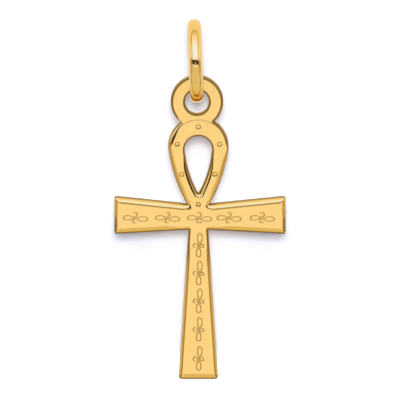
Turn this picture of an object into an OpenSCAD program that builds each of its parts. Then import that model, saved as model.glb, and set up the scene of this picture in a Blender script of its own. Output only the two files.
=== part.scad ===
// Ankh pendant: a small cast cross with a loop, an eye on top of it, and the jump ring that it hangs on.
// Millimetres. +Z is up, +X is to the right and the front faces -Y.
// The origin is where a chain bears: the highest point of the inside of the jump ring.

/* [Jump ring] */
// Inside diameter of the ring
ring_id = 4.28; // [3.8:0.01:6]
// Thickness of the wire, across the ring's plane from inside to outside
wire_t = 0.8; // [0.6:0.01:0.9]
// Width of the wire along the ring's axis, where it is a little flattened
wire_w = 0.96; // [0.92:0.01:1.1]
// Lean of the ring to the left, in degrees
ring_lean = 2.2; // [0:0.1:6]

/* [Eye] */
// Outside diameter of the eye
eye_d = 3.72; // [3.4:0.01:4.4]
// Diameter of the eye's hole
eye_hole_d = 1.64; // [1.6:0.01:2]
// Thickness of the eye
eye_t = 0.94; // [0.8:0.01:1]
// Radius of the eye's rounded edges
eye_edge = 0.18; // [0.05:0.01:0.25]
// How far the eye sits to the left of the cross's axis
eye_shift = 0.1; // [0:0.01:0.3]
// Room left between the wire and the eye that hangs on it
hang_gap = 0.06; // [0.04:0.01:0.1]

/* [Loop] */
// Width of the loop at its round top
loop_w = 4.266; // [4:0.01:4.8]
// Distance from the middle of the eye down to the middle of the loop's round top
loop_drop = 3.19; // [2.9:0.01:3.3]
// Radius of the loop's bowed sides
loop_bow = 10.4; // [8:0.1:20]
// Distance from the middle of the round top to where the sides would meet
loop_len = 5.25; // [5.1:0.01:5.6]
// Width of the loop's opening
opening_w = 1.91; // [1.6:0.01:2.2]
// How far the middle of the opening's round top lies below that of the loop
opening_drop = 0.2; // [0:0.01:0.4]
// Radius of the opening's bowed sides
opening_bow = 8; // [6:0.1:20]
// Distance from the middle of the opening's round top to where its sides would meet
opening_len = 3.14; // [2.8:0.01:3.2]
// Radius of the opening's lower tip
opening_tip_r = 0.09; // [0.05:0.01:0.2]
// Radius of the opening's front edge at its top and sides
opening_edge = 0.16; // [0.05:0.01:0.3]

/* [Cross] */
// Distance from the middle of the loop's round top down to the middle of the arms' root
arms_drop = 5.01; // [4.8:0.01:5.3]
// Reach of the left arm from the cross's axis
left_arm = 5.95; // [5:0.01:8]
// Reach of the right arm from the cross's axis
right_arm = 6.17; // [5:0.01:8]
// Height of the arms at the cross's axis
arm_root_h = 1.72; // [1.6:0.01:2.2]
// Height of the arms at their ends
arm_end_h = 2.69; // [2.2:0.01:3.2]
// How much higher the middle of an arm's end is than the middle of its root
arm_rise = 0.14; // [0:0.01:0.4]
// Length of the shaft below the middle of the arms' root
shaft_len = 11.56; // [9:0.01:14]
// Width of the shaft at the middle of the arms' root
shaft_root_w = 1.3; // [1.2:0.01:1.7]
// Width of the shaft at its foot
shaft_foot_w = 2.8; // [2:0.01:3.4]
// Radius of the arms' and the shaft's outer corners
corner_r = 0.18; // [0.05:0.01:0.35]
// Thickness of the loop, the arms and the shaft
body_t = 1; // [0.94:0.01:1.2]
// Radius of the rounded front edges
front_edge = 0.38; // [0.2:0.01:0.42]
// Radius of the rounded back edges
back_edge = 0.12; // [0.05:0.01:0.2]

/* [Dimples] */
// Diameter of the punched dimples on the front of the loop
dimple_d = 0.35; // [0.2:0.01:0.45]
// Depth of the dimples
dimple_depth = 0.07; // [0.03:0.01:0.12]
// Height of the two upper side dimples above the middle of the loop's round top
side_dimple_rise = 0.21; // [-0.2:0.01:0.5]
// Distance of the two lower side dimples below the middle of the loop's round top
low_dimple_drop = 1.92; // [1.6:0.01:2.3]
// Distance of the lowest dimple, on the axis, above the middle of the arms' root
neck_dimple_rise = 0.95; // [0.7:0.01:1]

/* [Hidden] */
$fn = 96;

gold = "#f4c95d";
ring_gold = "#e9b94f";

// Steps in which a rounded edge is made
edge_steps = 5;
// Steps in the half outline of a teardrop: its tip, a side and the round top
tip_steps = 3;
side_steps = 9;
top_steps = 14;
// Sides of a full turn at the arms' and the shaft's corners
corner_sides = 20;
// Length by which a cutter reaches past the face that it cuts
past = 0.2;

ring_mid_r = (ring_id + wire_t) / 2;
wire_r = wire_t / 2;
wire_flat = wire_w - wire_t;

// Middle of the wire at the bottom of the leaning ring
wire_x = (ring_id / 2 + ring_mid_r) * sin(ring_lean);
wire_z = -(ring_id / 2 + ring_mid_r) * cos(ring_lean);

// The eye hangs on the shoulders of the flattened wire, which curves up towards the eye's two faces
eye_r = eye_d / 2;
eye_hole_r = eye_hole_d / 2;
land_half = eye_t / 2 - eye_edge;
wire_rise = ring_mid_r - sqrt(pow(ring_mid_r, 2) - pow(land_half, 2));
eye_drop = sqrt(pow(eye_hole_r - wire_r - hang_gap, 2) - pow(wire_flat / 2, 2));
eye_z = wire_z + wire_rise - eye_drop;

// The cross's axis, and the height of the middle of the loop's round top
axis_x = wire_x + eye_shift;
loop_z = eye_z - loop_drop;

function clamp01(v) = min(1, max(0, v));
function ease(v) = (1 - cos(180 * clamp01(v))) / 2;

// Teardrop: a round top of radius r at the origin, and two sides of radius bow that meet len below it.
// The middle of the right side's arc lies at drop_lean degrees above the line through the round top.
function drop_lean(r, bow, len) =
    asin((2 * bow * r - r * r - len * len) / (2 * len * (bow - r)));
function side_x(r, bow, len) = -(bow - r) * cos(drop_lean(r, bow, len));
function side_z(r, bow, len) = (bow - r) * sin(drop_lean(r, bow, len));
function tip_z(r, bow, len, tip) =
    side_z(r, bow, len) - sqrt(pow(bow - tip, 2) - pow(side_x(r, bow, len), 2));
function tip_angle(r, bow, len, tip) =
    -atan2(side_z(r, bow, len) - tip_z(r, bow, len, tip), -side_x(r, bow, len));

// Each point of an outline is its place and the direction that it faces
function arc_points(x, z, r, from, to, steps) = [
    for (i = [0 : steps])
        let (a = from + (to - from) * i / steps)
        [x + r * cos(a), z + r * sin(a), cos(a), sin(a)]
];
function right_half(r, bow, len, tip) = let (
    lean = drop_lean(r, bow, len),
    turn = tip_angle(r, bow, len, tip),
    foot = arc_points(0, tip_z(r, bow, len, tip), tip, -90, turn, tip_steps),
    side = arc_points(side_x(r, bow, len), side_z(r, bow, len), bow, turn, -lean, side_steps),
    top = arc_points(0, 0, r, -lean, 90, top_steps)
) concat(
    foot,
    [for (i = [1 : side_steps]) side[i]],
    [for (i = [1 : top_steps]) top[i]]
);
function teardrop(r, bow, len, tip) = let (half = right_half(r, bow, len, tip)) concat(
    half,
    [for (i = [len(half) - 2 : -1 : 1]) [-half[i][0], half[i][1], -half[i][2], half[i][3]]]
);

// Half the width of a teardrop at height z
function drop_half_w(r, bow, len, z) =
    z > -r * sin(drop_lean(r, bow, len))
        ? sqrt(max(0, r * r - z * z))
        : side_x(r, bow, len) + sqrt(pow(bow, 2) - pow(z - side_z(r, bow, len), 2));

// Middle of the loop's band at height z above the middle of its round top
function band_mid(z) = (
    drop_half_w(loop_w / 2, loop_bow, loop_len, z)
    + drop_half_w(opening_w / 2, opening_bow, opening_len, z + opening_drop)
) / 2;

// Stands a plan drawn in X and Y upright, with what was its upper face to the front
module upright() {
    rotate([90, 0, 0]) children();
}

// Convex outline as a plate of the body's thickness, with rounded front and back edges
module rounded_plate(corner) {
    hull() {
        translate([0, 0, back_edge - body_t / 2])
            plate_step(corner, 0, body_t - back_edge - front_edge)
                children();
        for (i = [1 : edge_steps]) {
            a = 90 * i / edge_steps;
            plate_step(corner, front_edge * (1 - cos(a)), body_t / 2 - front_edge * (1 - sin(a)))
                children();
            mirror([0, 0, 1])
                plate_step(corner, back_edge * (1 - cos(a)), body_t / 2 - back_edge * (1 - sin(a)))
                    children();
        }
    }
}

// One step of a plate: a prism of the outline drawn in by inset
module plate_step(corner, inset, height) {
    linear_extrude(height)
        offset(r = max(corner - inset, 0), $fn = corner_sides)
            offset(delta = -max(corner, inset))
                children();
}

module loop_outline() {
    polygon([for (p = teardrop(loop_w / 2, loop_bow, loop_len, front_edge)) [p[0], p[1]]]);
}

// An arm from past the axis to its end; side is 1 for the right and -1 for the left
module arm_outline(reach, side) {
    root = front_edge * 1.5;
    low = -arm_root_h / 2;
    high = arm_root_h / 2;
    low_slope = (arm_rise - arm_end_h / 2 - low) / reach;
    high_slope = (arm_rise + arm_end_h / 2 - high) / reach;
    scale([side, 1])
        polygon([
            [-root, low - low_slope * root],
            [reach, low + low_slope * reach],
            [reach, high + high_slope * reach],
            [-root, high - high_slope * root]
        ]);
}

module shaft_outline() {
    polygon([
        [-shaft_root_w / 2, 0],
        [-shaft_foot_w / 2, -shaft_len],
        [shaft_foot_w / 2, -shaft_len],
        [shaft_root_w / 2, 0]
    ]);
}

// Cutter for the loop's opening, whose front edge is rounded more and more towards its lower tip
module opening_cutter() {
    outline = teardrop(opening_w / 2, opening_bow, opening_len, opening_tip_r);
    count = len(outline);
    round_at = [
        for (p = outline)
            opening_edge + (front_edge - opening_edge) * ease(-p[1] / opening_len)
    ];
    back_rings = [
        for (k = [0 : edge_steps])
            let (a = 90 - 90 * k / edge_steps)
            [for (p = outline) ring_point(p, back_edge * (1 - cos(a)), back_edge * (1 - sin(a)) - body_t / 2)]
    ];
    front_rings = [
        for (k = [0 : edge_steps])
            let (a = 90 * k / edge_steps)
            [for (i = [0 : count - 1])
                ring_point(outline[i], round_at[i] * (1 - cos(a)), body_t / 2 - round_at[i] * (1 - sin(a)))]
    ];
    back_end = [for (p = outline) ring_point(p, back_edge, -body_t / 2 - past)];
    front_end = [for (i = [0 : count - 1]) ring_point(outline[i], round_at[i], body_t / 2 + past)];
    rings = concat([back_end], back_rings, front_rings, [front_end]);
    last = (len(rings) - 1) * count;
    polyhedron(
        points = [for (ring = rings) for (p = ring) p],
        faces = concat(
            [[for (i = [0 : count - 1]) i]],
            [[for (i = [count - 1 : -1 : 0]) last + i]],
            [for (k = [0 : len(rings) - 2]) for (i = [0 : count - 1])
                let (j = (i + 1) % count, low = k * count, high = low + count)
                each [[low + i, high + i, high + j], [low + i, high + j, low + j]]]
        )
    );
}
function ring_point(p, out, height) = [p[0] + p[2] * out, p[1] + p[3] * out, height];

// Section of a ring with rounded edges, drawn as its radius in X and its thickness in Y
module rounded_section(inner, outer, thick, edge) {
    translate([inner + edge, -thick / 2])
        square([outer - inner - 2 * edge, thick]);
    translate([inner, edge - thick / 2])
        square([outer - inner, thick - 2 * edge]);
    for (x = [inner + edge, outer - edge], y = [edge - thick / 2, thick / 2 - edge])
        translate([x, y]) circle(edge);
}

module eye() {
    translate([-eye_shift, loop_drop, 0])
        rotate_extrude()
            rounded_section(eye_hole_r, eye_r, eye_t, eye_edge);
}

// Room for the eye's own hole in the top of the loop
module eye_clearance() {
    translate([-eye_shift, loop_drop, 0])
        cylinder(r = eye_hole_r + eye_edge, h = body_t + 2 * past, center = true);
}

module dimple(x, z) {
    ball_r = (pow(dimple_d / 2, 2) + pow(dimple_depth, 2)) / (2 * dimple_depth);
    translate([x, z, body_t / 2 - dimple_depth + ball_r]) sphere(ball_r);
}

module dimples() {
    dimple(0, (loop_w / 2 + opening_w / 2 - opening_drop) / 2);
    for (side = [-1, 1]) {
        dimple(side * band_mid(side_dimple_rise), side_dimple_rise);
        dimple(side * band_mid(-low_dimple_drop), -low_dimple_drop);
    }
    dimple(0, neck_dimple_rise - arms_drop);
}

// The cross and its eye, cast in one piece, with rounded front edges that meet in mitres where limbs cross
module ankh() {
    color(gold)
        translate([axis_x, 0, loop_z])
            upright()
                difference() {
                    union() {
                        difference() {
                            union() {
                                rounded_plate(0) loop_outline();
                                translate([0, -arms_drop, 0]) {
                                    rounded_plate(corner_r) arm_outline(left_arm, -1);
                                    rounded_plate(corner_r) arm_outline(right_arm, 1);
                                    rounded_plate(corner_r) shaft_outline();
                                }
                            }
                            translate([0, -opening_drop, 0]) opening_cutter();
                            eye_clearance();
                        }
                        eye();
                    }
                    dimples();
                }
}

// The jump ring: one turn of slightly flattened round wire, standing square to the cross
module jump_ring() {
    color(ring_gold)
        rotate([0, -ring_lean, 0])
            translate([0, 0, -ring_id / 2])
                rotate([0, 90, 0])
                    rotate_extrude()
                        translate([ring_mid_r, 0]) {
                            square([wire_t, wire_flat], center = true);
                            for (y = [-wire_flat / 2, wire_flat / 2])
                                translate([0, y]) circle(wire_r);
                        }
}

ankh();
jump_ring();
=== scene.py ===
"""Ankh pendant with its jump ring, dressed for the picture.

Lengths are written in millimetres and turned to metres where a mesh or a lamp is made.
"""

import math
from functools import partial

import bpy
import numpy as np
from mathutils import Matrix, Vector
from mathutils.geometry import delaunay_2d_cdt


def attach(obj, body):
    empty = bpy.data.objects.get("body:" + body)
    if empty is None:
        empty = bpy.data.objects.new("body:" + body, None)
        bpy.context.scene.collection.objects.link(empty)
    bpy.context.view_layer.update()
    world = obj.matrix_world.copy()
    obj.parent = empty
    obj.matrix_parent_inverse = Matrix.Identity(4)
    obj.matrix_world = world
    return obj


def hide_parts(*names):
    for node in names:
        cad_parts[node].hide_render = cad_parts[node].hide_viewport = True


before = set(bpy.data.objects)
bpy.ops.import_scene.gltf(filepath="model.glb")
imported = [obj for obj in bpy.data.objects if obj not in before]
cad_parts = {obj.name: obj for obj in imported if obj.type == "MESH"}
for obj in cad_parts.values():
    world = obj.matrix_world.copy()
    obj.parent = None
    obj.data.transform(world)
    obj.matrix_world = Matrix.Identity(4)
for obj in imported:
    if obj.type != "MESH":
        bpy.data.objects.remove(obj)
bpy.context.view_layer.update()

MM = 0.001


# Jump ring
# One turn of drawn 14 carat gold wire, a little flattened, bent round a rod and closed.
# It passes through the eye of the cross and stands square to it, leaning slightly to the left.

RING_INSIDE = 4.28
WIRE_THICK = 0.8
WIRE_WIDE = 0.96
RING_LEAN = math.radians(2.2)
RING_TURNS = 180
WIRE_SIDES = 56


def put(name, data):
    """Puts a mesh, a lamp or a camera in the scene."""
    thing = bpy.data.objects.new(name, data)
    bpy.context.scene.collection.objects.link(thing)
    return thing


def add_piece(name, points, faces, normals):
    """Makes a smooth mesh object from points in millimetres."""
    mesh = bpy.data.meshes.new(name)
    mesh.from_pydata((points * MM).tolist(), [], faces)
    mesh.shade_smooth()
    mesh.normals_split_custom_set_from_vertices(normals.tolist())
    return put(name, mesh)


def carried_round(out, aside, drop):
    """A section's places or directions, carried once round the ring and leant with it."""
    turn = np.linspace(0, 2 * math.pi, RING_TURNS, endpoint=False)[:, None]
    aside = np.broadcast_to(aside, (RING_TURNS, WIRE_SIDES))
    upright = np.stack([aside, out * np.cos(turn), out * np.sin(turn) - drop], axis=-1)
    cos, sin = math.cos(RING_LEAN), math.sin(RING_LEAN)
    return upright.reshape(-1, 3) @ np.array([[cos, 0, sin], [0, 1, 0], [-sin, 0, cos]])


def ring_mesh():
    """The flattened wire as points, faces and normals."""
    angle = np.linspace(0, 2 * math.pi, WIRE_SIDES, endpoint=False) + math.pi / WIRE_SIDES
    out, aside = np.cos(angle), np.sin(angle)
    flat = np.sign(aside) * (WIRE_WIDE - WIRE_THICK) / 2
    radius = (RING_INSIDE + WIRE_THICK) / 2 + out * WIRE_THICK / 2
    places = carried_round(radius, aside * WIRE_THICK / 2 + flat, RING_INSIDE / 2)
    here = np.arange(RING_TURNS * WIRE_SIDES).reshape(RING_TURNS, WIRE_SIDES)
    onward = np.roll(here, -1, axis=0)
    corners = [here, onward, np.roll(onward, -1, axis=1), np.roll(here, -1, axis=1)]
    faces = np.stack(corners, axis=-1).reshape(-1, 4).tolist()
    return places, faces, carried_round(out, aside, 0)


def linear(code, strength=1.0):
    """Turns an sRGB hex colour into the linear colour that a node takes."""
    parts = [int(code[i : i + 2], 16) / 255 for i in (1, 3, 5)]
    light = [p / 12.92 if p <= 0.04045 else ((p + 0.055) / 1.055) ** 2.4 for p in parts]
    return [p * strength for p in light] + [1.0]


def feed(node, inputs):
    """Gives each named input a value, or a link from a socket or from a node's first output."""
    for socket, value in inputs.items():
        if isinstance(value, bpy.types.Node):
            value = next(output for output in value.outputs if output.enabled)
        if isinstance(value, bpy.types.NodeSocket):
            node.id_data.links.new(value, node.inputs[socket])
        else:
            node.inputs[socket].default_value = value


def add_node(tree, kind, inputs=None, **settings):
    """Adds a shader node of a kind, with its settings and its inputs."""
    node = tree.nodes.new(kind)
    for setting, value in settings.items():
        setattr(node, setting, value)
    feed(node, inputs or {})
    return node


def new_metal(name):
    """An empty metal: its material, its way to add nodes, its shader and the place on the piece."""
    material = bpy.data.materials.new(name)
    material.use_nodes = True
    shader = material.node_tree.nodes["Principled BSDF"]
    shader.inputs["Metallic"].default_value = 1.0
    node = partial(add_node, material.node_tree)
    return material, node, shader, node("ShaderNodeTexCoord").outputs["Object"]


# Drawn 14 carat gold wire, tumbled bright: the drawing leaves very faint lines along the wire
# and the tumbling a soft gloss, so its reflections are a little less sharp than a buffed face's.
# Real drawing lines are under 0.01 mm apart; they are drawn 0.08 mm apart so that they show at all.
# Along the wire they change only 60 times in a metre.
RING_COLOUR = "#FFE0A8"
RING_COLOUR_DEEP = "#FCDA9C"
DRAWN_LINE_SPACING = 0.08
DRAWN_LINE_DEEP = 0.0004
CHANGES_ALONG = 60.0
TUMBLE_SPOT = 0.6
TUMBLED_SMOOTH = 0.05
TUMBLED_ROUGH = 0.11


def drawn_gold_wire():
    material, node, shader, place = new_metal("gold_14k_drawn_wire_tumbled")
    spots = node(
        "ShaderNodeTexNoise",
        {"Vector": place, "Scale": 1 / (TUMBLE_SPOT * MM), "Detail": 3.0, "Roughness": 0.55},
    )
    colour = node(
        "ShaderNodeMix",
        {"Factor": spots, "A": linear(RING_COLOUR), "B": linear(RING_COLOUR_DEEP)},
        data_type="RGBA",
    )
    gloss = node(
        "ShaderNodeMapRange", {"Value": spots, "To Min": TUMBLED_SMOOTH, "To Max": TUMBLED_ROUGH}
    )
    spacing = (1 / (DRAWN_LINE_SPACING * MM), CHANGES_ALONG, CHANGES_ALONG)
    across = node("ShaderNodeMapping", {"Vector": place, "Scale": spacing})
    lines = node("ShaderNodeTexNoise", {"Vector": across, "Scale": 1.0, "Detail": 2.0})
    relief = node(
        "ShaderNodeBump", {"Height": lines, "Strength": 0.25, "Distance": DRAWN_LINE_DEEP * MM}
    )
    feed(shader, {"Base Color": colour, "Roughness": gloss, "Normal": relief})
    return material


ring = add_piece("jump_ring_wire", *ring_mesh())
ring.data.materials.append(drawn_gold_wire())
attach(ring, "ring")
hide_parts("jump_ring")


# Cross with its eye
# One casting in 14 carat gold, 1 mm thick, with soft raised edges on the front and a plain back.
# The front is buffed, then punched with six dimples on the loop and engraved with ten scrolls.

LOOP_WIDE = 4.266
LOOP_BOW = 10.4
LOOP_LONG = 5.25
LOOP_TIP = 0.38
OPENING_WIDE = 1.91
OPENING_DROP = 0.2
OPENING_BOW = 8.0
OPENING_LONG = 3.14
OPENING_TIP = 0.09
EYE_WIDE = 3.72
EYE_HOLE_WIDE = 1.64
EYE_SHIFT = 0.1
EYE_RISE = 3.19
ARMS_DROP = 5.01
LEFT_ARM = 5.95
RIGHT_ARM = 6.17
ARM_ROOT_TALL = 1.72
ARM_END_TALL = 2.69
ARM_RISE = 0.14
ARM_PAST_AXIS = 0.57
SHAFT_LONG = 11.56
SHAFT_ROOT_WIDE = 1.3
SHAFT_FOOT_WIDE = 2.8
CORNER_RADIUS = 0.18
PLATE_THICK = 1.0
EYE_THICK = 0.94
BACK_EDGE = 0.12

# Middle of the loop's round top, from which every place on the cross is measured
CROSS_X = 0.27966
CROSS_Z = -8.20089

LOOP_SHAPE = (LOOP_WIDE / 2, LOOP_BOW, LOOP_LONG, LOOP_TIP)
OPENING_SHAPE = (OPENING_WIDE / 2, OPENING_BOW, OPENING_LONG, OPENING_TIP)


def line(start, end, kind):
    """A straight stretch of an outline, with the metal on its left."""
    return {"kind": kind, "start": np.array(start, float), "end": np.array(end, float)}


def arc(centre, radius, first, last, kind):
    """A round stretch of an outline from one angle to another, with the metal on its left."""
    centre = np.array(centre, float)
    return {"kind": kind, "centre": centre, "radius": radius, "first": first, "last": last}


def spokes(angle):
    """Unit directions at these angles."""
    return np.stack([np.cos(angle), np.sin(angle)], axis=1)


def along(edge, share):
    """Places on an edge at shares of its length from 0 to 1, and the directions into the metal."""
    share = np.atleast_1d(share)[:, None]
    if "centre" in edge:
        angle = edge["first"] + (edge["last"] - edge["first"]) * share
        outward = np.hstack([np.cos(angle), np.sin(angle)])
        side = 1 if edge["last"] > edge["first"] else -1
        return edge["centre"] + edge["radius"] * outward, -side * outward
    reach = edge["end"] - edge["start"]
    left = np.array([-reach[1], reach[0]]) / np.hypot(*reach)
    return edge["start"] + reach * share, np.repeat(left[None, :], len(share), axis=0)


def length_of(edge):
    if "centre" in edge:
        return abs(edge["last"] - edge["first"]) * edge["radius"]
    return float(np.hypot(*(edge["end"] - edge["start"])))


def part_of(edge, low, high):
    """The stretch of an edge between two shares of its length."""
    cut = dict(edge)
    if "centre" in edge:
        turn = edge["last"] - edge["first"]
        cut["first"] = edge["first"] + turn * low
        cut["last"] = edge["first"] + turn * high
    else:
        cut["start"], cut["end"] = along(edge, [low, high])[0]
    return cut


def nearest(edge, points):
    """The place on an edge that is nearest to each point."""
    if "centre" not in edge:
        reach = edge["end"] - edge["start"]
        share = np.clip((points - edge["start"]) @ reach / (reach @ reach), 0, 1)
        return edge["start"] + share[:, None] * reach
    away = points - edge["centre"]
    side = 1 if edge["last"] > edge["first"] else -1
    span = abs(edge["last"] - edge["first"])
    turned = np.mod(side * (np.arctan2(away[:, 1], away[:, 0]) - edge["first"]), 2 * math.pi)
    beyond = turned > span
    back = 2 * math.pi - turned < turned - span
    turned = np.where(beyond, np.where(back, 0.0, span), turned)
    angle = edge["first"] + side * turned
    return edge["centre"] + edge["radius"] * spokes(angle)


def drop_numbers(radius, bow, long, tip):
    """A teardrop's lean, the middle of its right side's arc, and its tip's middle and turn."""
    lean = math.asin((2 * bow * radius - radius**2 - long**2) / (2 * long * (bow - radius)))
    side = np.array([-(bow - radius) * math.cos(lean), (bow - radius) * math.sin(lean)])
    tip_z = side[1] - math.sqrt((bow - tip) ** 2 - side[0] ** 2)
    return lean, side, tip_z, -math.atan2(side[1] - tip_z, -side[0])


def teardrop(radius, bow, long, tip, top, kind):
    """A teardrop's outline: its tip, its right side, its round top and its left side."""
    lean, side, tip_z, turn = drop_numbers(radius, bow, long, tip)
    right = side + [0, top]
    left = np.array([-side[0], side[1] + top])
    return [
        arc((0, tip_z + top), tip, -math.pi - turn, turn, kind),
        arc(right, bow, turn, -lean, kind),
        arc((0, top), radius, -lean, math.pi + lean, kind),
        arc(left, bow, math.pi + lean, math.pi - turn, kind),
    ]


def drop_half_wide(radius, bow, long, tip, z):
    """Half the width of a teardrop at heights above the middle of its round top."""
    lean, side, _, _ = drop_numbers(radius, bow, long, tip)
    z = np.asarray(z, float)
    top = np.sqrt(np.maximum(radius**2 - z**2, 0))
    flank = side[0] + np.sqrt(np.maximum(bow**2 - (z - side[1]) ** 2, 0))
    return np.where(z > -radius * math.sin(lean), top, flank)


def rounded_corners(corners, radius, kind):
    """The outline of a straight-sided plate with its corners rounded, anticlockwise."""
    corners = [np.array(corner, float) for corner in corners]
    edges = []
    ends = []
    for i, corner in enumerate(corners):
        before = corners[i - 1] - corner
        after = corners[(i + 1) % len(corners)] - corner
        before /= np.hypot(*before)
        after /= np.hypot(*after)
        half = math.acos(np.clip(before @ after, -1, 1)) / 2
        reach = radius / math.tan(half)
        middle = corner + (before + after) / np.hypot(*(before + after)) * radius / math.sin(half)
        ends.append((corner + before * reach, corner + after * reach, middle))
    for i, (first, last, middle) in enumerate(ends):
        start = math.atan2(*(first - middle)[::-1])
        turn = (math.atan2(*(last - middle)[::-1]) - start) % (2 * math.pi)
        edges.append(arc(middle, radius, start, start + turn, kind))
        edges.append(line(last, ends[(i + 1) % len(ends)][0], kind))
    return edges


def arm_corners(reach, side):
    """The corners of an arm from past the axis to its end, anticlockwise; side is 1 or -1."""
    low = -ARM_ROOT_TALL / 2
    low_slope = (ARM_RISE - ARM_END_TALL / 2 - low) / reach
    high_slope = (ARM_RISE + ARM_END_TALL / 2 + low) / reach
    root = ARM_PAST_AXIS
    corners = [
        (-side * root, low - low_slope * root - ARMS_DROP),
        (side * reach, low + low_slope * reach - ARMS_DROP),
        (side * reach, -low + high_slope * reach - ARMS_DROP),
        (-side * root, -low - high_slope * root - ARMS_DROP),
    ]
    return corners if side > 0 else corners[::-1]


SHAFT_CORNERS = [
    (-SHAFT_ROOT_WIDE / 2, -ARMS_DROP),
    (-SHAFT_FOOT_WIDE / 2, -ARMS_DROP - SHAFT_LONG),
    (SHAFT_FOOT_WIDE / 2, -ARMS_DROP - SHAFT_LONG),
    (SHAFT_ROOT_WIDE / 2, -ARMS_DROP),
]
PLATES = [arm_corners(LEFT_ARM, -1), arm_corners(RIGHT_ARM, 1), SHAFT_CORNERS]

# Two outlines that meet within this distance touch, and neither lies inside the other.
TOUCH = 1e-9
SEARCH_POINTS = 801
SEARCH_HALVINGS = 40


def in_corners(corners, points):
    """Which points lie inside a straight-sided plate given anticlockwise."""
    inside = np.ones(len(points), bool)
    for i, corner in enumerate(corners):
        reach = np.subtract(corners[(i + 1) % len(corners)], corner)
        away = points - np.array(corner)
        inside &= reach[0] * away[:, 1] - reach[1] * away[:, 0] > TOUCH
    return inside


def in_loop(points):
    tip = drop_numbers(*LOOP_SHAPE)[2] - LOOP_TIP
    half = drop_half_wide(*LOOP_SHAPE, points[:, 1])
    return (np.abs(points[:, 0]) < half - TOUCH) & (points[:, 1] > tip)


def in_eye(points):
    return np.hypot(points[:, 0] + EYE_SHIFT, points[:, 1] - EYE_RISE) < EYE_WIDE / 2 - TOUCH


def free(edge, share, tests):
    """Which places on an edge lie outside all the other limbs."""
    places = along(edge, share)[0]
    return ~np.any([test(places) for test in tests], axis=0)


def outer_edges():
    """The cross's outline, from the parts of each limb's outline that lie outside the others."""
    limbs = [
        (teardrop(*LOOP_SHAPE, 0, "loop"), in_loop),
        ([arc((-EYE_SHIFT, EYE_RISE), EYE_WIDE / 2, -math.pi / 2, 1.5 * math.pi, "eye")], in_eye),
    ]
    for corners in PLATES:
        edges = rounded_corners(corners, CORNER_RADIUS, "limb")
        limbs.append((edges, partial(in_corners, corners)))
    kept = []
    for own, (edges, _) in enumerate(limbs):
        tests = [test for i, (_, test) in enumerate(limbs) if i != own]
        for edge in edges:
            shares = np.linspace(0, 1, SEARCH_POINTS)
            open_here = free(edge, shares, tests)
            cuts = [0.0] if open_here[0] else []
            for i in np.flatnonzero(open_here[1:] != open_here[:-1]):
                low, high = shares[i], shares[i + 1]
                for _ in range(SEARCH_HALVINGS):
                    middle = (low + high) / 2
                    if free(edge, middle, tests)[0] == open_here[i]:
                        low = middle
                    else:
                        high = middle
                cuts.append((low + high) / 2)
            if open_here[-1]:
                cuts.append(1.0)
            kept += [part_of(edge, *cuts[i : i + 2]) for i in range(0, len(cuts), 2)]
    chain = [kept.pop()]
    while kept:
        end = along(chain[-1], 1.0)[0][0]
        gaps = [np.hypot(*(along(edge, 0.0)[0][0] - end)) for edge in kept]
        chain.append(kept.pop(int(np.argmin(gaps))))
    return chain


def clockwise(edges):
    """The same outline the other way round, for a hole."""
    return [dict(edge, first=edge["last"], last=edge["first"]) for edge in edges[::-1]]


OUTLINE = outer_edges()
OPENING = clockwise(teardrop(*OPENING_SHAPE, -OPENING_DROP, "opening"))
EYE_HOLE = [
    arc((-EYE_SHIFT, EYE_RISE), EYE_HOLE_WIDE / 2, 1.5 * math.pi, -math.pi / 2, "eye_hole")
]
ROUNDS = (OUTLINE, OPENING, EYE_HOLE)
ALL_EDGES = OUTLINE + OPENING + EYE_HOLE


# The rims. A soft shoulder curves down from the face, broad on the limbs and narrow round the eye.
# Beyond it the casting falls off in a steep, slightly tapered wall, painted brown as shade.
# The line where a shoulder starts is bold, plain, thin or faint by the power of its curve.
LIMB_RIM = 0.47
EYE_RIM = 0.2
HOLE_RIM = 0.18
RIGHT_LOOP_RIM = 0.2
NECK_RIM = 0.3
CORNER_RIM = 0.3
OPENING_RIM = 0.16
OPENING_LEFT_RIM = 0.41
OPENING_RIGHT_RIM = 0.36
OPENING_TIP_RIM = 0.39
BOLD_LINE = 0.6
THIN_LINE = -0.8
FAINT_LINE = -1.3
TAPER_WIDE = 0.04
TAPER_DEEP = 0.55
SHOULDER_END = math.tan(math.radians(50))
SHOULDER_POWER = 3.0
BACK_POWER = 2.0

# Where the rims change: first where a change starts, then how much further on it is complete.
# Across and up are from the middle of the loop's round top, and the arms' level parts their
# upper edges from their lower ones. Round the loop it is in degrees above level, and down the
# opening in shares of its length.
LEFT_SIDE_ACROSS = (0.15, -0.3)
LOOP_BELOW_LEVEL = (0, -30)
LOOP_PAST_EYE = (60, -40)
LOOP_NECK_UP = (-3.0, -1.0)
LOOP_TOP_UP = (-0.5, 1.0)
OPENING_LEFT_DOWN = (0, 0.5)
OPENING_RIGHT_DOWN = (0, 0.6)
OPENING_TIP_DOWN = (0.85, 0.15)
NECK_ACROSS = (0.98, -0.3)
UNDER_ARM_ACROSS = (2.4, -1.4)
UNDER_ARM_UP = (-7.9, 1.3)
ARMS_LEVEL = -4.9


def ease(share):
    """Goes smoothly from 0 to 1."""
    share = np.clip(share, 0, 1)
    return share * share * (3 - 2 * share)


def fade(value, start, span):
    """Goes smoothly from 0 where a change starts to 1 where it is complete."""
    return ease((value - start) / span)


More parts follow.
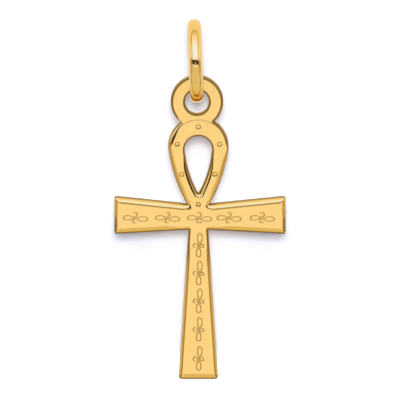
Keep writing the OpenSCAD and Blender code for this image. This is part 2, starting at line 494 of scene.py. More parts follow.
def rim_wide(kind, places):
    """Width of the front rim where its outline passes these places."""
    across, up = places.T
    left_side = fade(across, *LEFT_SIDE_ACROSS)
    if kind == "loop":
        around = np.degrees(np.arctan2(up, np.abs(across)))
        broad = np.maximum(left_side, fade(around, *LOOP_BELOW_LEVEL))
        broad = RIGHT_LOOP_RIM + (LIMB_RIM - RIGHT_LOOP_RIM) * broad
        wide = EYE_RIM + (broad - EYE_RIM) * fade(around, *LOOP_PAST_EYE)
        return wide + (NECK_RIM - wide) * fade(up, *LOOP_NECK_UP)
    if kind == "opening":
        down = -(up + OPENING_DROP) / OPENING_LONG
        left = (OPENING_LEFT_RIM - OPENING_RIM) * fade(down, *OPENING_LEFT_DOWN)
        right = (OPENING_RIGHT_RIM - OPENING_RIM) * fade(down, *OPENING_RIGHT_DOWN)
        wide = OPENING_RIM + right + (left - right) * left_side
        return wide + (OPENING_TIP_RIM - wide) * fade(down, *OPENING_TIP_DOWN)
    if kind == "limb":
        beside_neck = fade(np.abs(across), *NECK_ACROSS) * (up > ARMS_LEVEL)
        under_arm = fade(np.abs(across), *UNDER_ARM_ACROSS) * (up < ARMS_LEVEL)
        under_arm = under_arm * fade(up, *UNDER_ARM_UP)
        return LIMB_RIM + (CORNER_RIM - LIMB_RIM) * np.maximum(beside_neck, under_arm)
    return np.full(len(places), {"eye": EYE_RIM, "eye_hole": HOLE_RIM}[kind])


def rim_power(kind, places):
    """How softly the shoulder starts from the face: higher is softer and shows a bolder line."""
    power = np.full(len(places), SHOULDER_POWER)
    if kind == "loop":
        line_change = np.where(places[:, 0] > 0, FAINT_LINE, BOLD_LINE)
        power = power + fade(places[:, 1], *LOOP_TOP_UP) * line_change
    if kind == "opening":
        power = power + np.where(places[:, 0] < 0, BOLD_LINE, THIN_LINE)
    return power


def shoulder(far, wide, power):
    """Drop and steepness of a front rim at distances from its outline."""
    span = wide - TAPER_WIDE
    inward = np.clip((wide - far) / span, 0, 1)
    drop = SHOULDER_END * span * inward**power / power
    steep = SHOULDER_END * inward ** (power - 1)
    beyond = np.clip((TAPER_WIDE - far) / TAPER_WIDE, 0, 1)
    steep = np.where(far < TAPER_WIDE, TAPER_DEEP / TAPER_WIDE, np.where(far < wide, steep, 0))
    return drop + TAPER_DEEP * beyond, steep


def rounded(far, wide, power):
    """Drop and steepness of a plain rounded edge."""
    inward = np.clip((wide - far) / wide, 0, 1)
    rest = np.maximum(1 - inward**power, 1e-9)
    steep = inward ** (power - 1) * rest ** (1 / power - 1)
    return wide * (1 - rest ** (1 / power)), steep


def back_wide(kind, places):
    return np.full(len(places), BACK_EDGE)


def back_power(kind, places):
    return np.full(len(places), BACK_POWER)


def rim_drop(points, wide_at, power_at, profile):
    """How far the rims take the face down at each point, and how steeply, across and up."""
    drop = np.zeros(len(points))
    slope = np.zeros((len(points), 2))
    for edge in ALL_EDGES:
        close = nearest(edge, points)
        away = points - close
        far = np.hypot(away[:, 0], away[:, 1])
        wide = wide_at(edge["kind"], close)
        here, steep = profile(far, wide, power_at(edge["kind"], close))
        deeper = here > drop
        drop = np.where(deeper, here, drop)
        direction = away / np.maximum(far, 1e-9)[:, None]
        slope = np.where(deeper[:, None], -direction * steep[:, None], slope)
    return drop, slope


# Painted shade: the walls and a strip of rim beside them are painted brown and made rougher,
# standing in for the shade and dark reflection along the edges.
# The strip is widest round the eye and its hole, down the opening and on the lower edges.
SHADE_STRIP_WALL = 0.05
SHADE_STRIP_EYE = 0.14
SHADE_STRIP_EYE_HOLE = 0.17
SHADE_STRIP_OPENING = 0.15
SHADE_STRIP_LOOP = 0.09
SHADE_STRIP_LOOP_TOP = 0.1
SHADE_STRIP_LOWER = 0.115
SHADE_STRIP_BLEND = 0.02
EYE_SIDE_UP = (1.75, 0.4)
LOOP_RIGHT_ACROSS = (0, 0.3)
LOOP_RIGHT_UP = (-0.1, 0.6)
LOWER_EDGES_UP = (-4.6, -0.7)
LOWER_EDGES_FADE_UP = (-9.5, 2.8)
FOOT_UP = -16.2


def shade_strip_wide(kind, places):
    """Width of the painted shade strip where its outline passes these places."""
    across, up = places.T
    if kind == "eye":
        return SHADE_STRIP_WALL + SHADE_STRIP_EYE * np.maximum(across > 0, fade(up, *EYE_SIDE_UP))
    if kind == "loop":
        right_top = fade(across, *LOOP_RIGHT_ACROSS) * fade(up, *LOOP_RIGHT_UP)
        return SHADE_STRIP_LOOP + SHADE_STRIP_LOOP_TOP * right_top
    if kind == "limb":
        under_arms = fade(up, *LOWER_EDGES_UP) * fade(up, *LOWER_EDGES_FADE_UP)
        return SHADE_STRIP_WALL + SHADE_STRIP_LOWER * np.maximum(under_arms, up < FOOT_UP)
    return np.full(len(places), {"eye_hole": SHADE_STRIP_EYE_HOLE, "opening": SHADE_STRIP_OPENING}[kind])


def shade_strip(points):
    """How much painted edge shade each point gets."""
    left = np.zeros(len(points))
    for edge in ALL_EDGES:
        close = nearest(edge, points)
        far = np.hypot(*(points - close).T)
        wide = shade_strip_wide(edge["kind"], close)
        left = np.maximum(left, ease((wide + SHADE_STRIP_BLEND - far) / (2 * SHADE_STRIP_BLEND)))
    return left


# Engraving: one stroke of a round graver for each scroll, about 0.02 mm deep.
# A real cut is 0.02 to 0.05 mm wide; it is drawn 0.075 mm wide so that it shows as a fine line.
CUT_HALF_WIDE = 0.038
CUT_DEEP = 0.02

# A scroll's first half, from the end of its hook to its middle. The second half is the first one
# turned half round, with a longer loop, a smaller hook and a slight droop.
SCROLL_HALF = [
    (-0.1, 0.315),
    (-0.055, 0.38),
    (0.06, 0.405),
    (0.17, 0.305),
    (0.115, 0.155),
    (-0.08, 0.03),
    (-0.31, -0.105),
    (-0.58, -0.14),
    (-0.775, -0.065),
    (-0.80, 0.04),
    (-0.665, 0.16),
    (-0.44, 0.175),
    (-0.24, 0.115),
    (0.0, 0.0),
]
HOOK_POINTS = 5
SECOND_LOOP = 1.1
SECOND_HOOK = 0.82
SECOND_DROOP = 0.045
DROOP_FULL_AT = 0.4
CURVE_STEPS = 8
SCROLL_LINE_X = 0.04
ARM_SCROLLS_DROP = 0.02
ARM_SCROLLS_X = [-4.48, -2.21, SCROLL_LINE_X, 2.13, 4.48]
SHAFT_SCROLLS_DOWN = [1.98, 3.96, 5.95, 7.98, 10.07]


def smooth_curve(knots):
    """A smooth curve through knots, as close points."""
    knots = np.asarray(knots, float)
    padded = np.vstack([2 * knots[0] - knots[1], knots, 2 * knots[-1] - knots[-2]])
    share = np.linspace(0, 1, CURVE_STEPS, endpoint=False)[:, None]
    runs = []
    for a, b, c, d in zip(padded, padded[1:], padded[2:], padded[3:]):
        runs.append(
            b
            + 0.5 * share * (c - a)
            + share**2 * (a - 2.5 * b + 2 * c - 0.5 * d)
            + share**3 * (1.5 * (b - c) + 0.5 * (d - a))
        )
    return np.vstack([*runs, knots[-1:]])


def scroll_stroke(middle, upright):
    """Two long loops with a curled hook above and below their crossing, shorter if it lies."""
    shorter = 0 if upright else 1
    first = np.array(SCROLL_HALF[shorter:])
    second = -first[::-1]
    stretch = np.full((len(second), 1), SECOND_LOOP)
    stretch[shorter - HOOK_POINTS :] = SECOND_HOOK
    second = second * np.hstack([stretch, np.minimum(stretch, 1.0)])
    second[:, 1] -= SECOND_DROOP * np.clip(second[:, 0] / DROOP_FULL_AT, 0, 1)
    stroke = smooth_curve(np.vstack([first, second[1:]]))
    if upright:
        stroke = np.stack([-stroke[:, 1], stroke[:, 0]], axis=1)
    return stroke + middle


SCROLLS = [scroll_stroke((x, -ARMS_DROP - ARM_SCROLLS_DROP), False) for x in ARM_SCROLLS_X]
SCROLLS += [scroll_stroke((SCROLL_LINE_X, -ARMS_DROP - down), True) for down in SHAFT_SCROLLS_DOWN]


def gap_to_stroke(points, stroke):
    """Distance from each point to a stroke's line."""
    start = stroke[:-1]
    reach = stroke[1:] - start
    away = points[:, None, :] - start[None, :, :]
    share = np.clip((away * reach).sum(-1) / (reach**2).sum(-1), 0, 1)
    return np.sqrt(((away - share[..., None] * reach) ** 2).sum(-1)).min(axis=1)


def cut_depth(points):
    """Depth of the engraved scrolls at each point."""
    depth = np.zeros(len(points))
    for stroke in SCROLLS:
        low = stroke.min(axis=0) - CUT_HALF_WIDE
        high = stroke.max(axis=0) + CUT_HALF_WIDE
        here = np.flatnonzero(np.all((points > low) & (points < high), axis=1))
        if len(here):
            share = np.clip(gap_to_stroke(points[here], stroke) / CUT_HALF_WIDE, 0, 1)
            depth[here] = np.maximum(depth[here], CUT_DEEP * (1 - share**2) ** 2)
    return depth


# Where the eye meets the loop a fine scored line shows, here and there buffed away.
JOINT_RADIUS = 1.94
JOINT_FROM = math.radians(50)
JOINT_TO = math.radians(129)
JOINT_HALF_WIDE = 0.03
JOINT_DEEP = 0.02
JOINT_END = 0.12
JOINT_LEFT = 0.55
JOINT_WORN = 0.45
JOINT_WAVES = 14.0
JOINT_UNEVEN = 1.3
JOINT_SLOW_WAVES = 5


def joint_depth(points):
    """Depth of the scored line."""
    around = np.arctan2(points[:, 1], points[:, 0])
    gap = np.hypot(points[:, 0], points[:, 1]) - JOINT_RADIUS
    ends = fade(around, JOINT_FROM, JOINT_END) * fade(around, JOINT_TO, -JOINT_END)
    uneven = JOINT_UNEVEN * np.sin(JOINT_SLOW_WAVES * around)
    worn = JOINT_LEFT + JOINT_WORN * np.sin(JOINT_WAVES * around + uneven)
    score = JOINT_DEEP * worn * (1 - np.clip(np.abs(gap) / JOINT_HALF_WIDE, 0, 1) ** 2) ** 2
    return ends * score


# Dimples: a blunt punch leaves a shallow round pit, with a nearly flat floor and a steep side.
# The side is painted brown as shade, so that each shows as a brown ring.
# A more hollow floor shows darker.
DIMPLE_RADIUS = 0.18
DIMPLE_FLOOR = 0.115
DIMPLE_BLEND = 0.01
PLAIN_FLOOR_DEEP = 0.003
TILTED_FLOOR_DEEP = 0.007
NECK_FLOOR_DEEP = 0.013
DIMPLE_DEEP = 0.045
SIDE_DIMPLE_RISE = 0.21
LOW_DIMPLE_DROP = 1.92
NECK_DIMPLE_RISE = 0.95


def band_middle(z):
    """Middle of the loop's band at a height."""
    inner = drop_half_wide(*OPENING_SHAPE, z + OPENING_DROP)
    return float(drop_half_wide(*LOOP_SHAPE, z) + inner) / 2


SIDE_MIDDLE = band_middle(SIDE_DIMPLE_RISE)
LOW_MIDDLE = band_middle(-LOW_DIMPLE_DROP)
DIMPLES = [
    (0.0, (LOOP_WIDE / 2 + OPENING_WIDE / 2 - OPENING_DROP) / 2, PLAIN_FLOOR_DEEP),
    (0.0, NECK_DIMPLE_RISE - ARMS_DROP, NECK_FLOOR_DEEP),
    (-SIDE_MIDDLE, SIDE_DIMPLE_RISE, TILTED_FLOOR_DEEP),
    (SIDE_MIDDLE, SIDE_DIMPLE_RISE, PLAIN_FLOOR_DEEP),
    (-LOW_MIDDLE, -LOW_DIMPLE_DROP, PLAIN_FLOOR_DEEP),
    (LOW_MIDDLE, -LOW_DIMPLE_DROP, TILTED_FLOOR_DEEP),
]


def dimple_depth(points):
    depth = np.zeros(len(points))
    for across, up, floor_deep in DIMPLES:
        gap = np.hypot(points[:, 0] - across, points[:, 1] - up)
        share = (DIMPLE_RADIUS - gap) / (DIMPLE_RADIUS - DIMPLE_FLOOR)
        floor = floor_deep * (1 - np.clip(gap / DIMPLE_RADIUS, 0, 1) ** 3)
        depth = np.maximum(depth, (DIMPLE_DEEP - floor_deep) * ease(share) + floor)
    return depth


def dimple_side_shade(points):
    """How much of a dimple's steep side, painted brown as shade, lies at each point."""
    side = np.zeros(len(points))
    middle_radius = (DIMPLE_RADIUS + DIMPLE_FLOOR) / 2
    half = (DIMPLE_RADIUS - DIMPLE_FLOOR) / 2 + DIMPLE_BLEND
    for across, up, _ in DIMPLES:
        gap = np.hypot(points[:, 0] - across, points[:, 1] - up) - middle_radius
        side = np.maximum(side, 1 - np.clip(np.abs(gap) / half, 0, 1) ** 2)
    return side


def front_relief(points):
    """What is cut into the front face, without its rims."""
    return cut_depth(points) + joint_depth(points) + dimple_depth(points)


# The mesh: the outline's points, rows of points drawn in from it where a rim curves,
# rows along every cut, rings at every dimple, and a loose grid between.
POINT_GAP = 0.1
ARC_POINT_GAP = 0.07
ARC_POINT_TURN = 0.12
SHOULDER_SLOPES = [0.3, 1.0, 2.0, 3.5, 5.5, 8, 11, 15, 20, 26, 32, 38, 44]
BACK_SHARES = [0.02, 0.4, 0.72, 0.95]
CREASE = 0.005
INNER_BEND = -0.02
FAN_STEPS = 14
CUT_ROWS = [0.0, 0.012, 0.024, 0.036, 0.055]
DIMPLE_RINGS = [0.05, 0.085, 0.105, 0.115, 0.125, 0.135, 0.147, 0.16, 0.17, 0.18, 0.2]
DIMPLE_POINTS = 12
DIMPLE_POINTS_PER_MM = 180
JOINT_ROWS = [-0.05, -0.03, -0.02, -0.01, 0.0, 0.01, 0.02, 0.03, 0.045, 0.06, 0.08, 0.1]
JOINT_POINTS = 90
GRID_STEP = 0.22
GRID_ACROSS = (-6.1, 6.3)
GRID_UP = (-16.6, 5.1)
LEAST_GAP = 0.007
LEAST_INSET = 0.004
ROW_SLACK = 0.97
MERGE_WITHIN = 1e-7
SLOPE_STEP = 0.002


def point_count(edge):
    """How many steps an edge is drawn in, closer on an arc."""
    step = POINT_GAP
    if "centre" in edge:
        step = min(ARC_POINT_GAP, edge["radius"] * ARC_POINT_TURN)
    return max(2, math.ceil(length_of(edge) / step))


def outline_points(edges):
    """Points round a closed outline, with the directions into the metal."""
    stretches = [
        along(edge, np.linspace(0, 1, point_count(edge), endpoint=False)) for edge in edges
    ]
    return [np.vstack(part) for part in zip(*stretches)]


def front_rows(wide):
    """Distances in from the outline at which a front rim's rows of points lie."""
    steps = np.tan(np.radians(SHOULDER_SLOPES)) / SHOULDER_END
    shares = steps ** (1 / (SHOULDER_POWER - 1))
    span = wide[:, None] - TAPER_WIDE
    rows = wide[:, None] - span * np.concatenate([[0.0], shares])
    edge = np.array([TAPER_WIDE + CREASE, TAPER_WIDE - CREASE, TAPER_WIDE / 2])
    return np.hstack([rows, np.repeat(edge[None, :], len(wide), axis=0)])


def back_rows(wide):
    return wide[:, None] * (1 - np.array([0.0, *BACK_SHARES]))


def rim_rows(wide_at, rows_at):
    """Points drawn in from the whole outline, with a fan round each inner corner."""
    found = []
    for edges in ROUNDS:
        for i, edge in enumerate(edges):
            place, into = along(edge, np.linspace(0, 1, point_count(edge) + 1))
            start, turned = along(edges[(i + 1) % len(edges)], 0.0)
            bend = into[-1, 0] * turned[0, 1] - into[-1, 1] * turned[0, 0]
            if bend < INNER_BEND:
                first = math.atan2(into[-1, 1], into[-1, 0])
                sweep = -math.acos(np.clip(into[-1] @ turned[0], -1, 1))
                angle = first + np.linspace(0, 1, FAN_STEPS)[1:-1] * sweep
                place = np.vstack([place, np.repeat(start, len(angle), axis=0)])
                into = np.vstack([into, spokes(angle)])
            for far in rows_at(wide_at(edge["kind"], place)).T:
                found.append((place + into * far[:, None], far))
    return found


def clearance(points):
    """Distance from each point to the outline."""
    far = np.full(len(points), np.inf)
    for edge in ALL_EDGES:
        far = np.minimum(far, np.hypot(*(points - nearest(edge, points)).T))
    return far


def in_metal(points):
    inside = in_loop(points) | in_eye(points)
    for corners in PLATES:
        inside |= in_corners(corners, points)
    half = drop_half_wide(*OPENING_SHAPE, points[:, 1] + OPENING_DROP)
    lowest = along(OPENING[-1], 0.5)[0][0][1]
    open_here = (np.abs(points[:, 0]) < half) & (points[:, 1] > lowest)
    hole = np.hypot(points[:, 0] + EYE_SHIFT, points[:, 1] - EYE_RISE) < EYE_HOLE_WIDE / 2
    return inside & ~open_here & ~hole


def spread_out(points, least):
    """Leaves out a point that shares a small cell with an earlier one."""
    cells = np.round(points / least).astype(np.int64)
    _, first = np.unique(cells, axis=0, return_index=True)
    return points[np.sort(first)]


def face_points(wide_at, rows_at, extra):
    """Every point inside the outline that a face's mesh needs."""
    kept = []
    for places, far in rim_rows(wide_at, rows_at):
        kept.append(places[(clearance(places) > far * ROW_SLACK) & in_metal(places)])
    for places in extra:
        kept.append(places[in_metal(places) & (clearance(places) > LEAST_INSET)])
    return spread_out(np.vstack(kept), LEAST_GAP)


def detail_points():
    """Rows along the cuts, rings at the dimples and rows along the scored line."""
    found = []
    for stroke in SCROLLS:
        along_it = np.gradient(stroke, axis=0)
        along_it /= np.hypot(along_it[:, 0], along_it[:, 1])[:, None]
        across = np.stack([-along_it[:, 1], along_it[:, 0]], axis=1)
        for row in CUT_ROWS:
            found.append(stroke + across * row)
            if row:
                found.append(stroke - across * row)
    for across, up, _ in DIMPLES:
        found.append(np.array([(across, up)]))
        for radius in DIMPLE_RINGS:
            count = DIMPLE_POINTS + int(radius * DIMPLE_POINTS_PER_MM)
            angle = np.linspace(0, 2 * math.pi, count, endpoint=False)
            found.append(spokes(angle) * radius + (across, up))
    around = np.linspace(JOINT_FROM, JOINT_TO, JOINT_POINTS)
    for out in JOINT_ROWS:
        found.append((JOINT_RADIUS + out) * spokes(around))
    return found


def grid_points():
    across, up = np.meshgrid(np.arange(*GRID_ACROSS, GRID_STEP), np.arange(*GRID_UP, GRID_STEP))
    return [np.stack([across.ravel(), up.ravel()], axis=1)]


def face_mesh(inner):
    """Joins the outline and the inner points into triangles; the outline's points come first."""
    rounds = [outline_points(edges)[0] for edges in ROUNDS]
    starts = np.cumsum([0] + [len(places) for places in rounds]).tolist()
    loops = [list(range(start, end)) for start, end in zip(starts, starts[1:])]
    points = np.vstack([*rounds, inner])
    anticlockwise = [loops[0]] + [loop[::-1] for loop in loops[1:]]
    made, _, faces, origin, _, parents = delaunay_2d_cdt(
        [Vector(point) for point in points], [], anticlockwise, 0, MERGE_WITHIN, True
    )
    place = {}
    for new, old in enumerate(origin):
        for index in old:
            place[index] = new
    kept = [face for face, parent in zip(faces, parents) if list(parent) == [0]]
    return np.array([corner[:] for corner in made]), kept, place, loops


def drawn_face(wide_at, rows_at, power_at, profile, extra):
    """A face's places, triangles, depth and slopes, and its outline's points in order by loop."""
    flat, faces, place, loops = face_mesh(face_points(wide_at, rows_at, extra))
    drop, slope = rim_drop(flat, wide_at, power_at, profile)
    return flat, faces, drop, slope, [[place[i] for i in loop] for loop in loops]


def face_normals(slope, facing, rim_order):
    """Normals from the slopes, and square to the wall on the outline."""
    normal = np.stack([slope[:, 0], np.full(len(slope), facing), slope[:, 1]], axis=1)
    inward = np.vstack([outline_points(edges)[1] for edges in ROUNDS])
    for index, into in zip(sum(rim_order, []), inward):
        normal[index] = (-into[0], 0, -into[1])
    return normal


def cross_mesh():
    """Points, faces and normals of front, wall and back, how engraved each is and its painted
    shade.
    """
    flat, front_faces, drop, slope, front_rim = drawn_face(
        rim_wide, front_rows, rim_power, shoulder, detail_points() + grid_points()
    )
    for axis in (0, 1):
        shift = np.zeros(2)
        shift[axis] = SLOPE_STEP
        rise = front_relief(flat + shift) - front_relief(flat - shift)
        slope[:, axis] += rise / (2 * SLOPE_STEP)
    depth = drop + front_relief(flat) - PLATE_THICK / 2
    front = np.stack([flat[:, 0], depth, flat[:, 1]], axis=1)

    back_flat, back_faces, back_drop, back_slope, back_rim = drawn_face(
        back_wide, back_rows, back_power, rounded, grid_points()
    )
    back = np.stack([back_flat[:, 0], PLATE_THICK / 2 - back_drop, back_flat[:, 1]], axis=1)
    past_loop = np.hypot(back[:, 0], back[:, 2]) > LOOP_WIDE / 2
    back[past_loop & in_eye(back_flat), 1] -= (PLATE_THICK - EYE_THICK) / 2

    first_back = len(front)
    faces = [tuple(face) for face in front_faces]
    faces += [tuple(first_back + i for i in face[::-1]) for face in back_faces]
    for near, far in zip(front_rim, back_rim):
        for i in range(len(near)):
            j = (i + 1) % len(near)
            faces.append((near[i], first_back + far[i], first_back + far[j], near[j]))
    points = np.vstack([front, back]) + [CROSS_X, 0, CROSS_Z]
    normals = np.vstack(
        [face_normals(slope, -1.0, front_rim), face_normals(back_slope, 1.0, back_rim)]
    )
    normals /= np.linalg.norm(normals, axis=1)[:, None]
    plain = np.zeros(len(back))
    cuts = np.maximum(cut_depth(flat) / CUT_DEEP, joint_depth(flat) / JOINT_DEEP)
    engraved = np.concatenate([np.clip(cuts, 0, 1), plain])
    # Painted shade along the walls, the rims beside them, the back's outline and the dimples'
    # sides.
    painted_shade_strip = np.concatenate([np.maximum(shade_strip(flat), dimple_side_shade(flat)), plain])
    painted_shade_strip[first_back + np.array(back_rim[0])] = 1.0
    return points, faces, normals, engraved, painted_shade_strip


# Cast and buffed 14 carat yellow gold: a mirror that is a little soft from the buffing wheel,
# with hair-fine buffing lines. The graver's cuts are rougher, and painted darker and browner
# as shade in the fine grooves.
# Real buffing lines are a few thousandths of a millimetre apart; they are drawn 0.12 mm apart.
FACE_COLOUR = "#FDD893"
FACE_COLOUR_DEEP = "#FBD48B"
CUT_SHADE_COLOUR = "#C89F56"
# Painted shade colour for the strip along the edges and the dimples' sides.
EDGE_SHADE_COLOUR = "#A2803E"
BUFFED_SMOOTH = 0.035
BUFFED_ROUGH = 0.075
CUT_ROUGHNESS = 0.3
SHADE_STRIP_ROUGHNESS = 0.32
SHADE_STRIP_FROM = 0.5
CUT_FROM = 0.1
CUT_FULL = 0.8
CUT_SHADE_AND_DULLING = 0.8
CLOUD_SPOT = 1.4
BUFF_LINE_SPACING = 0.12
BUFF_LINE_LONG = 2.5
BUFF_LINE_DEEP = 0.0003
BUFF_LINE_TURN = math.radians(35)


def buffed_cast_gold():
    material, node, shader, place = new_metal("gold_14k_cast_buffed")
    cloud = node(
        "ShaderNodeTexNoise",
        {"Vector": place, "Scale": 1 / (CLOUD_SPOT * MM), "Detail": 3.0, "Roughness": 0.6},
    )
    colour = node(
        "ShaderNodeMix",
        {"Factor": cloud, "A": linear(FACE_COLOUR), "B": linear(FACE_COLOUR_DEEP)},
        data_type="RGBA",
    )
    # Painted shade: the strip along the edges and the dimples' sides is mixed toward brown and made
    # rougher.
    shade_strip_amount = node("ShaderNodeAttribute", attribute_name="painted_shade_strip").outputs["Fac"]
    shade_strip_share = node("ShaderNodeMapRange", {"Value": shade_strip_amount, "From Min": SHADE_STRIP_FROM})
    with_edge_shade = node(
        "ShaderNodeMix",
        {"Factor": shade_strip_share, "A": colour, "B": linear(EDGE_SHADE_COLOUR)},
        data_type="RGBA",
    )
    cuts = node("ShaderNodeAttribute", attribute_name="engraved").outputs["Fac"]
    # Painted shade: the cuts are mixed toward a darker, browner colour, and made rougher.
    shade_and_dulling = node(
        "ShaderNodeMapRange",
        {"Value": cuts, "From Min": CUT_FROM, "From Max": CUT_FULL, "To Max": CUT_SHADE_AND_DULLING},
    )
    with_cut_shade = node(
        "ShaderNodeMix",
        {"Factor": shade_and_dulling, "A": with_edge_shade, "B": linear(CUT_SHADE_COLOUR)},
        data_type="RGBA",
    )
    gloss = node(
        "ShaderNodeMapRange", {"Value": cloud, "To Min": BUFFED_SMOOTH, "To Max": BUFFED_ROUGH}
    )
    in_cuts = node(
        "ShaderNodeMath", {0: shade_and_dulling, 1: CUT_ROUGHNESS, 2: gloss}, operation="MULTIPLY_ADD"
    )
    with_strip_roughness = node(
        "ShaderNodeMath", {0: shade_strip_share, 1: SHADE_STRIP_ROUGHNESS, 2: in_cuts}, operation="MULTIPLY_ADD"
    )
    along_lines = 1 / (BUFF_LINE_LONG * MM)
    drawn_out = node(
        "ShaderNodeMapping",
        {
            "Vector": place,
            "Rotation": (0.0, BUFF_LINE_TURN, 0.0),
            "Scale": (along_lines, along_lines, 1 / (BUFF_LINE_SPACING * MM)),
        },
    )
    lines = node("ShaderNodeTexNoise", {"Vector": drawn_out, "Scale": 1.0, "Detail": 3.0})
    relief = node(
        "ShaderNodeBump", {"Height": lines, "Strength": 0.3, "Distance": BUFF_LINE_DEEP * MM}
    )
    feed(shader, {"Base Color": with_cut_shade, "Roughness": with_strip_roughness, "Normal": relief})
    return material


cross_points, cross_faces, cross_normals, engraved, painted_shade_strip = cross_mesh()
cross = add_piece("ankh_cross", cross_points, cross_faces, cross_normals)
for layer_name, values in (("engraved", engraved), ("painted_shade_strip", painted_shade_strip)):
    layer = cross.data.attributes.new(layer_name, "FLOAT", "POINT")
    layer.data.foreach_set("value", values.astype(np.float32))
cross.data.materials.append(buffed_cast_gold())
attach(cross, "cross")
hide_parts("ankh")


# Studio
# A card and a floor of white paper with a painted glow in place of the tent's light, brighter
# at the foot, with two soft lamps for the shadows on them, and a light tent whose open front
# the gold reflects.

CARD_BEHIND = 3.2
CARD_HALF = 60.0
FLOOR_LEVEL = -27.6
TARGET = (0.395, 0.0, -12.004)
LOOK_DOWN = math.radians(7)
CAMERA_FAR = 400.0
PICTURE_WIDE = 28.24
SENSOR = 36.0
WHITE = "#FFFFFF"
PAPER_COLOUR = "#F3F6FD"
TENT_TINT = "#CFDBFF"
TENT_ON_CARD = 0.25
TENT_ON_FOOT = 0.75
BOUNCE_FROM = -22.8
BOUNCE_FULL = -24.9


def add_sheet(name, corners, material):
    mesh = bpy.data.meshes.new(name)
    mesh.from_pydata((np.array(corners) * MM).tolist(), [], [(0, 1, 2, 3)])
    mesh.materials.append(material)
    sheet = put(name, mesh)
    sheet.visible_glossy = False
    sheet.visible_diffuse = False


def white_paper():
    """White matt paper lit by lamps, a painted glow for light from all round, clear from behind."""
    material = bpy.data.materials.new("paper_white_matt")
    material.use_nodes = True
    material.node_tree.nodes.clear()
    node = partial(add_node, material.node_tree)
    lamp_lit = node("ShaderNodeBsdfDiffuse", {"Color": linear(PAPER_COLOUR)})
    place = node("ShaderNodeNewGeometry")
    height = node("ShaderNodeSeparateXYZ", {"Vector": place}).outputs["Z"]
    foot = node(
        "ShaderNodeMapRange",
        {"Value": height, "From Min": BOUNCE_FROM * MM, "From Max": BOUNCE_FULL * MM},
        interpolation_type="SMOOTHSTEP",
    )
    tent_on_paper = linear(TENT_TINT, TENT_ON_CARD)
    bounce = node(
        "ShaderNodeMix",
        {"Factor": foot, "A": tent_on_paper, "B": linear(WHITE, TENT_ON_FOOT)},
        data_type="RGBA",
    )
    # Painted glow: the paper emits the tent's tint, more strongly and whiter at the foot.
    painted_glow = node("ShaderNodeEmission", {"Color": bounce})
    paper = node("ShaderNodeAddShader", {0: lamp_lit, 1: painted_glow})
    clear = node("ShaderNodeBsdfTransparent")
    either = node("ShaderNodeMixShader", {0: place.outputs["Backfacing"], 1: paper, 2: clear})
    node("ShaderNodeOutputMaterial", {"Surface": either})
    return material


paper_material = white_paper()
square = [(x * CARD_HALF, y * CARD_HALF) for x, y in ((-1, -1), (1, -1), (1, 1), (-1, 1))]
card_middle = FLOOR_LEVEL + CARD_HALF
add_sheet("card", [(x, CARD_BEHIND, z + card_middle) for x, z in square], paper_material)
add_sheet("floor", [(x, y, FLOOR_LEVEL) for x, y in square], paper_material)


def add_lamp(name, power, spread, height):
    """A far white lamp in front, as wide and as high as given in degrees."""
    lamp = bpy.data.lights.new(name, "SUN")
    lamp.energy = power
    lamp.angle = math.radians(spread)
    lamp_object = put(name, lamp)
    lamp_object.rotation_euler = (math.radians(90 - height), 0, 0)
    lamp_object.visible_glossy = False


add_lamp("soft_lamp", power=1.91, spread=12, height=13)
add_lamp("wide_fill", power=1.2, spread=48, height=22.6)


# The light tent, by the direction that the gold reflects. The angle goes up from the front:
# 0 is level and straight ahead of the cross, 90 is overhead and 180 is behind.
# Each stop gives the angle, the light's tint and its brightness. The strip is the open front,
# the sides lie beyond it, and along the seam between them the light is dimmed.
TENT_STRIP = [
    (-158, "#FFF0C8", 0.4),
    (-148, "#FFF2CC", 0.8),
    (-134, "#FFEFC0", 0.75),
    (-128, "#F0C468", 0.42),
    (-107, "#F0C468", 0.45),
    (-98, "#FFE68C", 0.62),
    (-88, "#FFEA98", 0.8),
    (-70, "#F0E2AC", 0.9),
    (-45, "#EADCA6", 0.93),
    (-17, "#E6D8A6", 0.95),
    (-11, "#EBDDB4", 1.0),
    (-9.6, "#FFFBEA", 1.02),
    (-4.8, "#FFFBEA", 1.02),
    (-4.2, "#241807", 1.0),
    (7.8, "#241807", 1.0),
    (9.4, "#DCEAFF", 1.35),
    (25, "#D2E4FF", 1.5),
    (40, "#CCDFFF", 1.6),
    (50, "#DCEAFF", 1.35),
    (60, "#F4FAFF", 1.06),
    (74, "#FFF6DC", 1.0),
    (85, "#FFEFC0", 0.88),
    (97, "#FFEDA8", 0.62),
    (105, "#FFEEB8", 0.95),
    (150, "#FFEEB8", 0.95),
    (180, "#FFF6DC", 0.85),
]
TENT_SIDES = [
    (-180, "#FFF6DC", 0.85),
    (-164, "#FFF8E4", 1.0),
    (-148, "#FFF2D0", 0.8),
    (-90, "#FFEFC0", 0.8),
    (-60, "#FFE9B0", 0.7),
    (-35, "#C8B070", 0.7),
    (-30, "#C8B070", 0.7),
    (-27, "#F4E4B4", 0.95),
    (-20, "#F4E4B4", 0.95),
    (-16, "#BCA868", 0.86),
    (4, "#BCA868", 0.86),
    (24, "#FFF8EC", 0.95),
    (70, "#FFF4D8", 0.95),
    (98, "#FFEEB8", 0.95),
    (150, "#FFEEB8", 0.95),
    (180, "#FFF6DC", 0.85),
]
TENT_SEAM = [
    (-138, WHITE, 1.0),
    (-128, WHITE, 0.1),
    (-86, WHITE, 0.15),
    (-70, WHITE, 0.75),
    (7, WHITE, 0.75),
    (25, WHITE, 0.3),
    (60, WHITE, 0.12),
    (94, WHITE, 0.1),
    (99, WHITE, 0.4),
    (103, WHITE, 1.0),
]
STRIP_HALF = 0.6
STRIP_SOFT = 0.03
STRIP_FULL_FROM = -82
STRIP_ENDS_AT = -133
STRIP_TOP = 100.5
STRIP_TOP_ROUND_FROM = 84
LOW_STRIP_HALF = 0.8
LOW_STRIP_UP_TO = -40
SEAM_HALF = 0.13
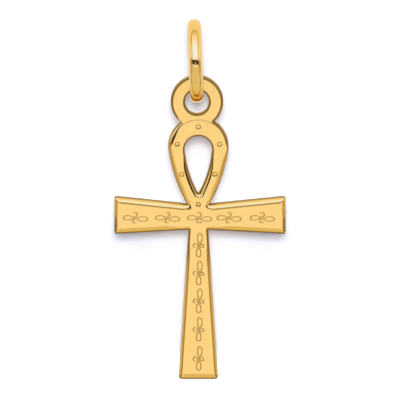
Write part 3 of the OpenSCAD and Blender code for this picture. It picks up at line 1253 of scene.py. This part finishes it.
# A pale plate fills the middle of the dark gap, so that a level view still finds gold.
PALE_COLOUR = "#E8D8A8"
PALE_WIDE = 0.042
PALE_TALL = 2.3
PALE_SOFT = 1.3


def tent_ramp(node, angle, stops):
    """A colour ramp over the angle, with a stop wherever the tent's brightness changes."""
    share = node("ShaderNodeMapRange", {"Value": angle, "From Min": -180, "From Max": 180})
    ramp = node("ShaderNodeValToRGB", {"Fac": share})
    elements = ramp.color_ramp.elements
    while len(elements) < len(stops):
        elements.new(0.5)
    for element, (degrees, _, _) in zip(elements, stops):
        element.position = (degrees + 180) / 360
    for element, (_, code, strength) in zip(elements, stops):
        element.color = linear(code, strength)
    return ramp


def light_tent():
    world = bpy.data.worlds.new("light_tent")
    world.use_nodes = True
    world.node_tree.nodes.clear()
    node = partial(add_node, world.node_tree)
    direction = node("ShaderNodeTexCoord").outputs["Generated"]
    parts = node("ShaderNodeSeparateXYZ", {"Vector": direction}).outputs
    front = node("ShaderNodeMath", {0: parts["Y"], 1: -1.0}, operation="MULTIPLY")
    turned = node("ShaderNodeMath", {0: parts["Z"], 1: front}, operation="ARCTAN2")
    angle = node("ShaderNodeMath", {0: turned}, operation="DEGREES")
    aside = node("ShaderNodeMath", {0: parts["X"]}, operation="ABSOLUTE")
    low_half = node(
        "ShaderNodeMapRange",
        {"Value": angle, "From Min": STRIP_ENDS_AT, "From Max": STRIP_FULL_FROM},
    )
    top_share = node(
        "ShaderNodeMapRange",
        {"Value": angle, "From Min": STRIP_TOP, "From Max": STRIP_TOP_ROUND_FROM},
    )
    top_round = node("ShaderNodeMath", {0: top_share}, operation="SQRT")
    full_half = node(
        "ShaderNodeMapRange",
        {
            "Value": angle,
            "From Min": LOW_STRIP_UP_TO,
            "From Max": 0.0,
            "To Min": LOW_STRIP_HALF,
            "To Max": STRIP_HALF,
        },
    )
    top_half = node("ShaderNodeMath", {0: top_round, 1: full_half}, operation="MULTIPLY")
    half = node("ShaderNodeMath", {0: low_half, 1: top_half}, operation="MINIMUM")
    outside = node("ShaderNodeMath", {0: aside, 1: half}, operation="SUBTRACT")
    beside = node(
        "ShaderNodeMapRange",
        {"Value": outside, "From Min": -STRIP_SOFT, "From Max": STRIP_SOFT},
        interpolation_type="SMOOTHSTEP",
    )
    strip = tent_ramp(node, angle, TENT_STRIP)
    sides = tent_ramp(node, angle, TENT_SIDES)
    light = node("ShaderNodeMix", {"Factor": beside, "A": strip, "B": sides}, data_type="RGBA")
    off_seam = node("ShaderNodeMath", {0: outside}, operation="ABSOLUTE")
    on_seam = tent_ramp(node, angle, TENT_SEAM)
    seam = node(
        "ShaderNodeMapRange",
        {"Value": off_seam, "From Max": SEAM_HALF, "To Min": on_seam, "To Max": 1.0},
        interpolation_type="SMOOTHSTEP",
    )
    off_level = node("ShaderNodeMath", {0: angle}, operation="ABSOLUTE")
    level = node(
        "ShaderNodeMapRange",
        {"Value": off_level, "From Min": PALE_TALL * PALE_SOFT, "From Max": PALE_TALL},
    )
    in_plate = node(
        "ShaderNodeMapRange",
        {"Value": aside, "From Min": PALE_WIDE * PALE_SOFT, "From Max": PALE_WIDE, "To Max": level},
    )
    with_plate = node(
        "ShaderNodeMix",
        {"Factor": in_plate, "A": light, "B": linear(PALE_COLOUR)},
        data_type="RGBA",
    )
    tent = node("ShaderNodeBackground", {"Color": with_plate, "Strength": seam})
    white = node("ShaderNodeBackground", {"Color": linear(WHITE)})
    seen = node("ShaderNodeLightPath").outputs["Is Camera Ray"]
    either = node("ShaderNodeMixShader", {0: seen, 1: tent, 2: white})
    node("ShaderNodeOutputWorld", {"Surface": either})
    world.cycles_visibility.diffuse = False
    return world


bpy.context.scene.world = light_tent()
bpy.context.scene.view_settings.view_transform = "Standard"

camera = bpy.data.cameras.new("camera")
camera.sensor_width = SENSOR
camera.lens = SENSOR * CAMERA_FAR / PICTURE_WIDE
camera_object = put("camera", camera)
set_back = CAMERA_FAR * np.array([0, -math.cos(LOOK_DOWN), math.sin(LOOK_DOWN)])
camera_object.location = (TARGET + set_back) * MM
camera_object.rotation_euler = (math.radians(90) - LOOK_DOWN, 0, 0)
bpy.context.scene.camera = camera_object
